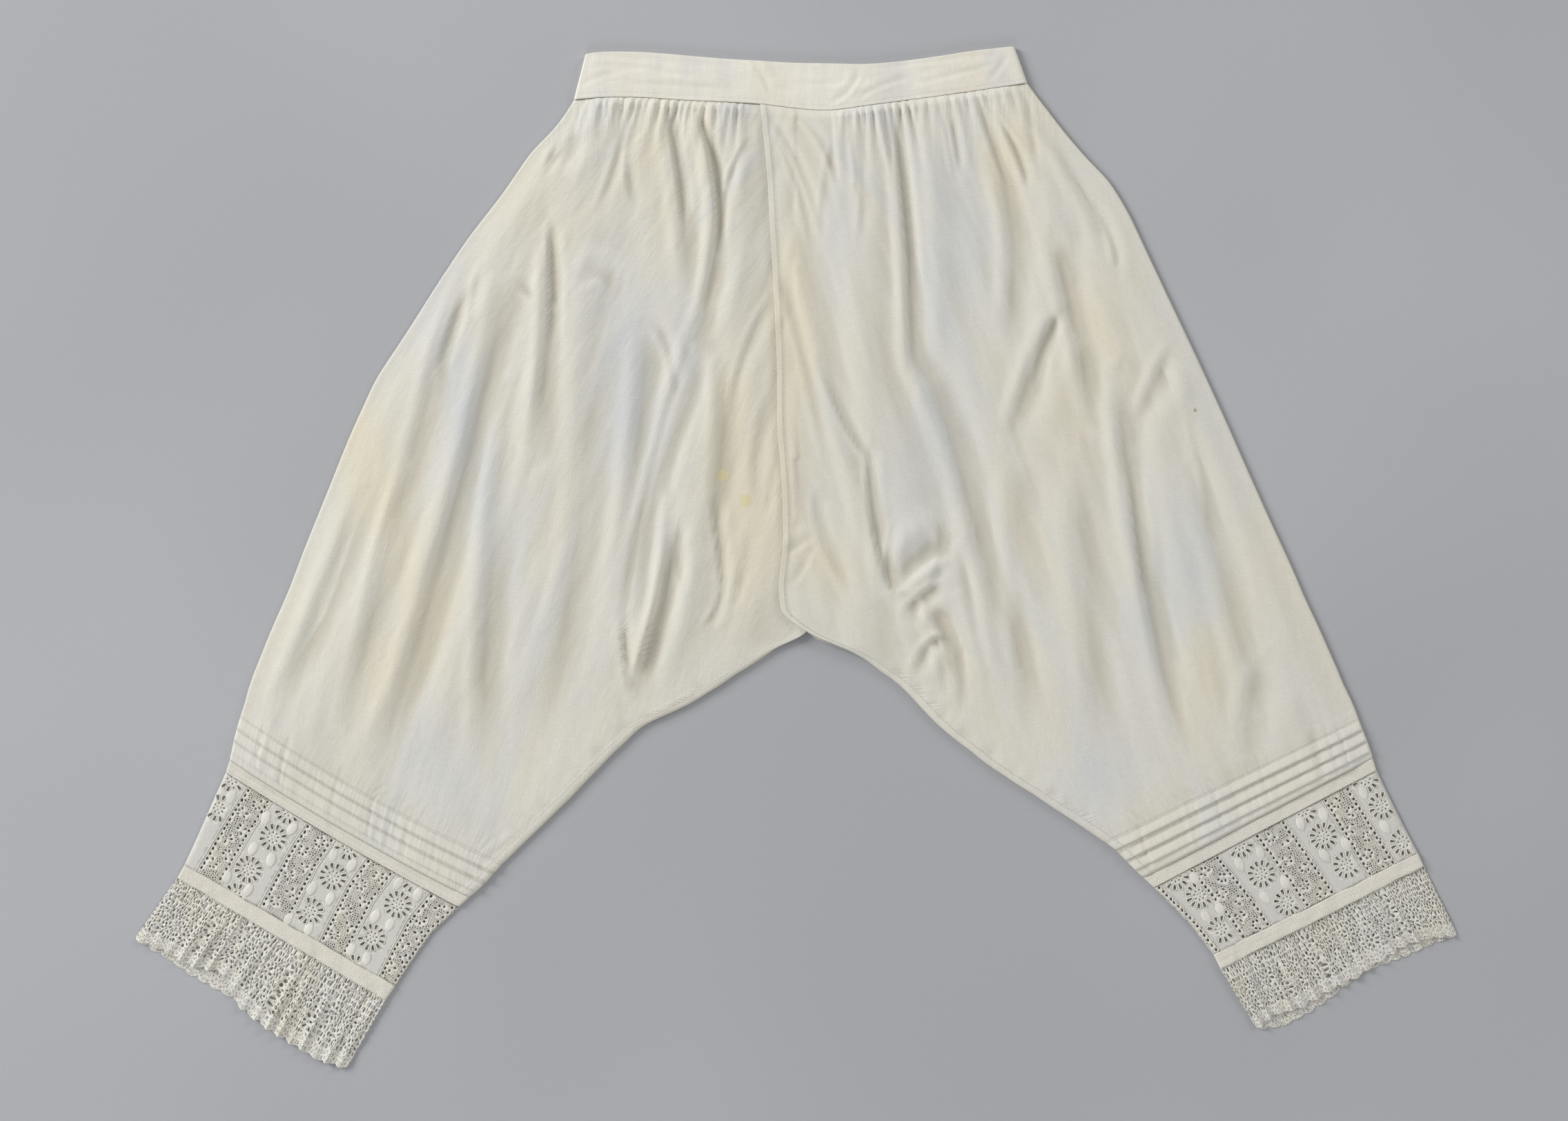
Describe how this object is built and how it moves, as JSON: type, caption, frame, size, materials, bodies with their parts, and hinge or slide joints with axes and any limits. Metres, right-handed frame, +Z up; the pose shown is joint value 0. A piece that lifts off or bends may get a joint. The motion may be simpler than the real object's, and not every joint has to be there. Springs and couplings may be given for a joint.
{
  "type": "cotton open drawers",
  "caption": "Knee-length cotton open drawers laid flat, with gathered waist, tucks, eyelet and net lace insertion and lace frills.",
  "frame": {"origin": "middle of the laid garment, on the surface it rests on", "axes": "+X towards the viewer's right leg, +Y towards the waistband, +Z up from the surface"},
  "size_m": [1.0132, 0.7831, 0.0071],
  "materials": {
    "cotton": "matt plain-woven cotton",
    "tape": "matt herringbone-woven cotton tape",
    "lace": "matt cotton lace and eyelet embroidery"
  },
  "bodies": {
    "root": {"waistband": "cotton", "leg_left": "cotton", "leg_right": "cotton", "hem_band_left": "tape", "hem_band_right": "tape", "insertion_left_front": "lace", "insertion_left_back": "lace", "insertion_right_front": "lace", "insertion_right_back": "lace", "tape_left": "tape", "tape_right": "tape", "frill_left": "lace", "frill_right": "lace"}
  },
  "joints": []
}
